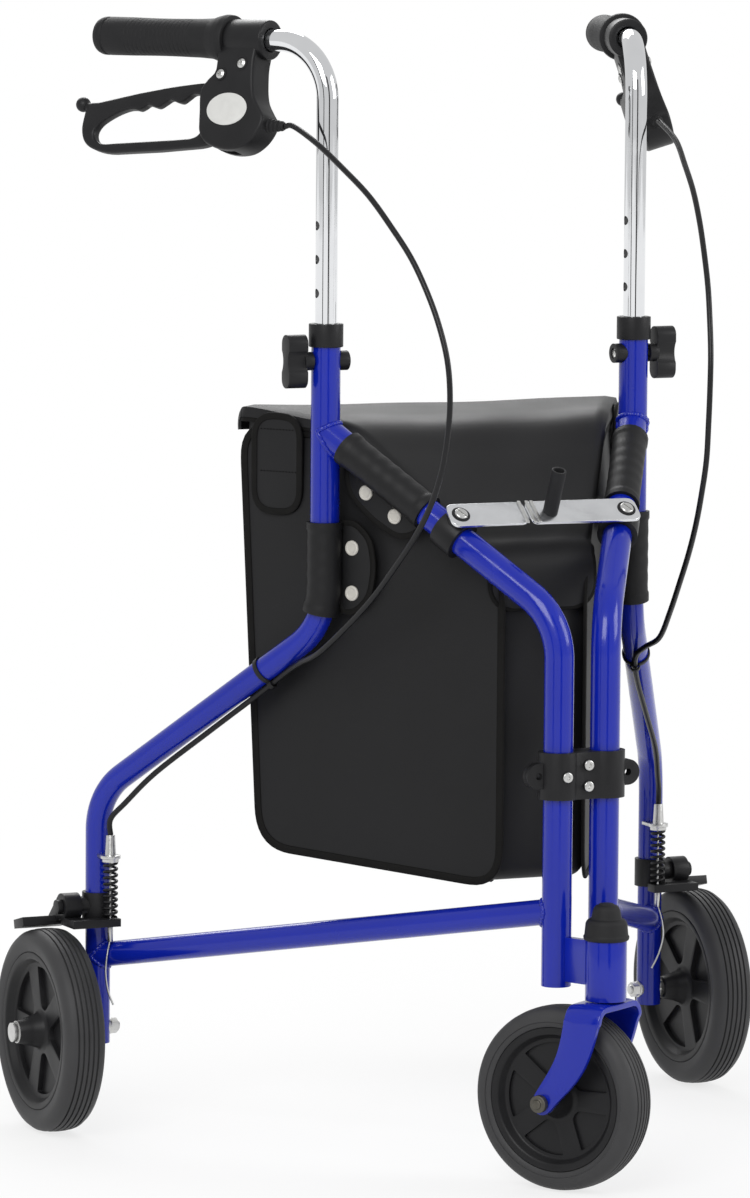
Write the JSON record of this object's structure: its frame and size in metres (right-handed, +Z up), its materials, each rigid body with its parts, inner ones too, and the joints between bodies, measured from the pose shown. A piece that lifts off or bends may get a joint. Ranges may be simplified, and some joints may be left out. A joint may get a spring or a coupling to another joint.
{
  "type": "three wheel rollator",
  "caption": "Folding three wheel walking frame with blue side frames, chrome handles, loop brakes, a swivelling front wheel and a hanging bag.",
  "frame": {"origin": "middle of the footprint on the floor", "axes": "+Z up, -Y to the front, +X to the right as seen from the front"},
  "size_m": [0.7124, 0.584, 0.9852],
  "materials": {
    "blue": "gloss enamel",
    "chrome": "bright plate",
    "zinc": "zinc plate",
    "black_plastic": "moulded",
    "rubber": "soft grip",
    "tyre": "ribbed grey rubber",
    "vinyl": "coated cloth",
    "cable": "sheathed cable"
  },
  "bodies": {
    "left_frame": {"left_upright": "blue", "left_rear_leg": "blue", "left_front_tube": "blue", "left_crossbar": "blue", "head_tube": "blue", "caster_bushes": "black_plastic", "caster_cap": "black_plastic", "hinge_clamp": "black_plastic", "hinge_screws": "zinc", "left_collar": "black_plastic", "left_knob_nut": "black_plastic", "left_axle": "zinc", "left_brake_bracket": "black_plastic", "left_cable_stop": "zinc", "left_brake_spring": "zinc", "left_cable": "cable", "left_cable_tie": "black_plastic", "left_strut_ring": "black_plastic", "bag": "vinyl", "bag_flap": "vinyl"},
    "right_frame": {"right_upright": "blue", "right_rear_leg": "blue", "right_front_tube": "blue", "right_crossbar": "blue", "right_collar": "black_plastic", "right_knob_nut": "black_plastic", "right_axle": "zinc", "right_brake_bracket": "black_plastic", "right_cable_stop": "zinc", "right_brake_spring": "zinc", "right_cable": "cable", "right_cable_tie": "black_plastic", "right_strut_ring": "black_plastic", "right_sleeves": "vinyl"},
    "caster": {"caster_fork": "blue", "caster_stem": "zinc", "front_axle": "zinc"},
    "front_wheel": {"front_hub": "black_plastic", "front_tyre": "tyre"},
    "left_wheel": {"left_hub": "black_plastic", "left_tyre": "tyre"},
    "right_wheel": {"right_hub": "black_plastic", "right_tyre": "tyre"},
    "left_handle": {"left_handle_tube": "chrome", "left_grip": "rubber", "left_brake_housing": "black_plastic"},
    "right_handle": {"right_handle_tube": "chrome", "right_grip": "rubber", "right_brake_housing": "black_plastic"},
    "left_lever": {"left_brake_lever": "black_plastic"},
    "right_lever": {"right_brake_lever": "black_plastic"},
    "left_brake": {"left_brake_arm": "black_plastic", "left_brake_wire": "zinc"},
    "right_brake": {"right_brake_arm": "black_plastic", "right_brake_wire": "zinc"},
    "left_knob": {"left_knob": "black_plastic"},
    "right_knob": {"right_knob": "black_plastic"},
    "left_strut": {"left_strut_bar": "chrome"},
    "right_strut": {"right_strut_bar": "chrome", "strut_post": "rubber"}
  },
  "joints": [
    {"name": "frame_fold", "type": "hinge", "parent": "left_frame", "child": "right_frame", "pos_m": [0.022, -0.20165, 0.352], "axis": [0, 0, 1], "range_deg": [0, 45], "deforming": ["bag", "bag_flap"]},
    {"name": "strut_left_hinge", "type": "hinge", "parent": "left_frame", "child": "left_strut", "pos_m": [-0.0897, -0.12376, 0.56586], "axis": [0, -1, 0], "range_deg": [0, 72]},
    {"name": "strut_knuckle", "type": "hinge", "parent": "left_strut", "child": "right_strut", "pos_m": [-0.016, -0.13372, 0.5573], "axis": [0, 1, 0], "range_deg": [0, 120.1]},
    {"name": "caster_swivel", "type": "hinge", "parent": "left_frame", "child": "caster", "pos_m": [0, -0.25165, 0.19], "axis": [0, 0, 1], "continuous": true},
    {"name": "front_wheel_spin", "type": "hinge", "parent": "caster", "child": "front_wheel", "pos_m": [-0.02179, -0.2181, 0.079], "axis": [0.8387, 0.5446, 0], "continuous": true},
    {"name": "left_wheel_spin", "type": "hinge", "parent": "left_frame", "child": "left_wheel", "pos_m": [-0.31924, 0.20202, 0.09], "axis": [1, 0, 0], "continuous": true},
    {"name": "left_handle_height", "type": "slide", "parent": "left_frame", "child": "left_handle", "axis": [0, 0, 1], "range_m": [-0.087, 0.058], "deforming": ["left_cable"]},
    {"name": "left_lever_squeeze", "type": "hinge", "parent": "left_handle", "child": "left_lever", "pos_m": [-0.21283, 0.0745, 0.89652], "axis": [-0.8397, -0.4465, 0.309], "range_deg": [0, 10], "stiffness_Nm_per_rad": 1.5, "springref_deg": -5.73},
    {"name": "left_brake_pivot", "type": "hinge", "parent": "left_frame", "child": "left_brake", "pos_m": [-0.30124, 0.20202, 0.199], "axis": [-1, 0, 0], "range_deg": [0, 3.4], "deforming": ["left_brake_spring"]},
    {"name": "left_knob_turn", "type": "hinge", "parent": "left_frame", "child": "left_knob", "pos_m": [-0.14812, 0.00019, 0.692], "axis": [-1, 0, 0], "continuous": true},
    {"name": "right_wheel_spin", "type": "hinge", "parent": "right_frame", "child": "right_wheel", "pos_m": [0.31924, 0.20202, 0.09], "axis": [1, 0, 0], "continuous": true},
    {"name": "right_handle_height", "type": "slide", "parent": "right_frame", "child": "right_handle", "axis": [0, 0, 1], "range_m": [-0.087, 0.058], "deforming": ["right_cable"]},
    {"name": "right_lever_squeeze", "type": "hinge", "parent": "right_handle", "child": "right_lever", "pos_m": [0.20186, 0.08279, 0.89652], "axis": [0.8937, -0.3253, 0.309], "range_deg": [0, 10], "stiffness_Nm_per_rad": 1.5, "springref_deg": -5.73},
    {"name": "right_brake_pivot", "type": "hinge", "parent": "right_frame", "child": "right_brake", "pos_m": [0.30124, 0.20202, 0.199], "axis": [-1, 0, 0], "range_deg": [0, 3.4], "deforming": ["right_brake_spring"]},
    {"name": "right_knob_turn", "type": "hinge", "parent": "right_frame", "child": "right_knob", "pos_m": [0.14812, 0.00019, 0.692], "axis": [1, 0, 0], "continuous": true}
  ],
  "couplings": [
    {"joint": "strut_left_hinge", "follows": "frame_fold", "ratio": 1.6},
    {"joint": "strut_knuckle", "follows": "frame_fold", "ratio": 2.6667},
    {"joint": "left_brake_pivot", "follows": "left_lever_squeeze", "ratio": 0.34},
    {"joint": "right_brake_pivot", "follows": "right_lever_squeeze", "ratio": 0.34}
  ]
}
